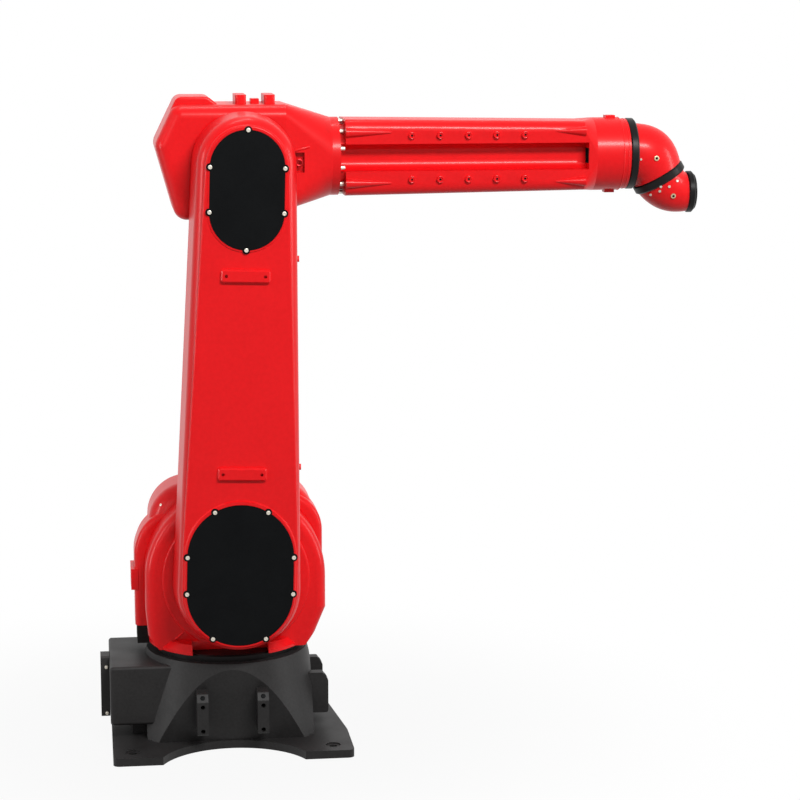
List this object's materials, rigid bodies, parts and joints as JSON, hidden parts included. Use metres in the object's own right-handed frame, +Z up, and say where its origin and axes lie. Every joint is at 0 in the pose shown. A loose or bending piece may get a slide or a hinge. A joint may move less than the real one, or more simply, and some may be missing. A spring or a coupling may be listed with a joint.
{
  "type": "industrial robot arm",
  "caption": "Floor-standing articulated robot arm with a conical pedestal, slab-sided lower arm, grooved forearm and hollow oblique wrist that carries a spray or handling tool.",
  "frame": {"origin": "on the floor, on the vertical swivel axis", "axes": "+Z up, +X the way the forearm points at rest, lower arm on the -Y side"},
  "size_m": [1.3655, 0.566, 1.4521],
  "materials": {
    "red_casting": "gloss bright red paint over aluminium castings",
    "grey_casting": "satin dark grey paint over cast iron",
    "black_cover": "satin black moulded covers",
    "black_ring": "satin black anodised rings",
    "dark_plate": "satin dark grey plate",
    "socket_shell": "matte grey connector shell",
    "bumper_rubber": "matte black rubber",
    "reducer_steel": "machined steel",
    "motor_housing": "satin black motor housing",
    "port_metal": "nickel-plated brass"
  },
  "bodies": {
    "pedestal": {"base_casting": "grey_casting", "connector_shell": "dark_plate", "connector_insert": "socket_shell", "swivel_bearing": "black_ring"},
    "turret": {"swivel_casting": "red_casting", "stop_block": "bumper_rubber", "shoulder_reducer": "reducer_steel", "shoulder_motor": "motor_housing"},
    "lower_arm": {"lower_arm_casting": "red_casting", "shoulder_cover": "black_cover", "elbow_cover": "black_cover"},
    "forearm": {"elbow_casting": "red_casting", "elbow_reducer": "reducer_steel", "mounting_rails": "red_casting", "port_block": "red_casting", "elbow_port": "port_metal", "elbow_motor": "motor_housing", "forearm_casting": "red_casting", "wrist_seat": "red_casting"},
    "wrist_roll_head": {"roll_ring": "black_ring", "roll_body": "red_casting"},
    "wrist_bend_head": {"bend_ring": "black_ring", "bend_body": "red_casting"},
    "tool": {"tool_flange": "black_ring"}
  },
  "joints": [
    {"name": "swivel", "type": "hinge", "parent": "pedestal", "child": "turret", "pos_m": [0, 0, 0.2], "axis": [0, 0, 1], "range_deg": [-162.5, 162.5]},
    {"name": "shoulder", "type": "hinge", "parent": "turret", "child": "lower_arm", "pos_m": [0.017, 0, 0.375], "axis": [0, 1, 0], "range_deg": [-81.6, 78.4]},
    {"name": "elbow", "type": "hinge", "parent": "lower_arm", "child": "forearm", "pos_m": [0.04299, 0, 1.30564], "axis": [0, -1, 0], "range_deg": [-57, 57]},
    {"name": "wrist_roll", "type": "hinge", "parent": "forearm", "child": "wrist_roll_head", "pos_m": [0.8975, 0, 1.31364], "axis": [1, 0, 0], "range_deg": [-180, 180]},
    {"name": "wrist_bend", "type": "hinge", "parent": "wrist_roll_head", "child": "wrist_bend_head", "pos_m": [0.99499, 0, 1.25914], "axis": [0.5, 0, -0.866], "range_deg": [-180, 180]},
    {"name": "tool_roll", "type": "hinge", "parent": "wrist_bend_head", "child": "tool", "pos_m": [1.0575, 0, 1.22564], "axis": [1, 0, 0], "range_deg": [-360, 360]}
  ]
}
